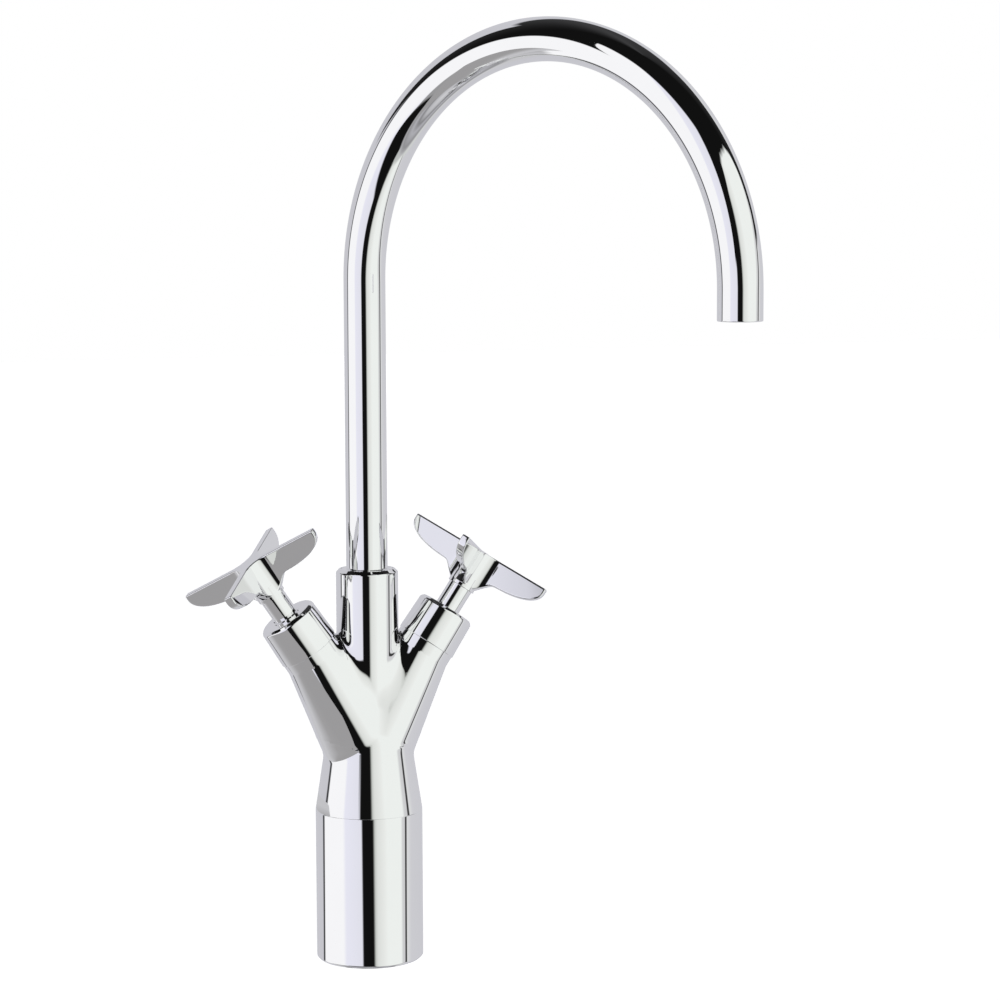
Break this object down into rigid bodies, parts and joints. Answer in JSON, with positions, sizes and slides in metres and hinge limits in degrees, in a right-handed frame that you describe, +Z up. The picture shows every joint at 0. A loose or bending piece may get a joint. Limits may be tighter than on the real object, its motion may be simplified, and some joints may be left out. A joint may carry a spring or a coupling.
{
  "type": "two-handle basin tap",
  "caption": "Tall chromed basin tap: swivelling swan-neck spout on a turned column, with a cross handle on each arm of a Y-shaped valve body.",
  "frame": {"origin": "on the basin's surface, on the axis of the column", "axes": "+Z up along the column; the user stands at -Y; the hot arm leans towards -X and the cold arm towards +X; the spout is stored swung from -Y towards +X"},
  "size_m": [0.2092, 0.2315, 0.451],
  "materials": {
    "chrome": "polished chrome plate on brass",
    "brass": "machined brass",
    "steel": "stainless steel",
    "rubber": "moulded rubber",
    "ceramic": "lapped alumina ceramic",
    "nylon": "natural nylon",
    "insert_plastic": "moulded grey plastic"
  },
  "bodies": {
    "body": {"base_column": "chrome", "foot_gasket": "rubber", "column_seal": "rubber", "clamp_ring": "brass", "valve_body": "chrome", "gland_nut": "chrome", "swivel_stop_screw": "steel", "hot_bonnet": "chrome", "hot_cartridge": "brass", "hot_seat_seal": "rubber", "hot_lower_disc": "ceramic", "hot_glide_ring": "nylon", "cold_bonnet": "chrome", "cold_cartridge": "brass", "cold_seat_seal": "rubber", "cold_lower_disc": "ceramic", "cold_glide_ring": "nylon"},
    "spout": {"spout_tube": "chrome", "spout_foot": "brass", "spout_seals": "rubber", "slide_ring": "nylon", "aerator_housing": "chrome", "aerator_insert": "insert_plastic", "aerator_seal": "rubber"},
    "hot_control": {"hot_handle": "chrome", "hot_handle_screw": "steel", "hot_stem": "chrome", "hot_spindle": "brass", "hot_spindle_seals": "rubber", "hot_spindle_clip": "steel", "hot_upper_disc": "ceramic"},
    "cold_control": {"cold_handle": "chrome", "cold_handle_screw": "steel", "cold_stem": "chrome", "cold_spindle": "brass", "cold_spindle_seals": "rubber", "cold_spindle_clip": "steel", "cold_upper_disc": "ceramic"}
  },
  "joints": [
    {"name": "spout_swivel", "type": "hinge", "parent": "body", "child": "spout", "pos_m": [0, 0, 0.19], "axis": [0, 0, 1], "range_deg": [-91, 29]},
    {"name": "hot_handle_turn", "type": "hinge", "parent": "body", "child": "hot_control", "pos_m": [0, 0, 0.11], "axis": [-0.5592, 0, 0.829], "range_deg": [0, 90]},
    {"name": "cold_handle_turn", "type": "hinge", "parent": "body", "child": "cold_control", "pos_m": [0, 0, 0.11], "axis": [0.5592, 0, 0.829], "range_deg": [-90, 0]}
  ]
}
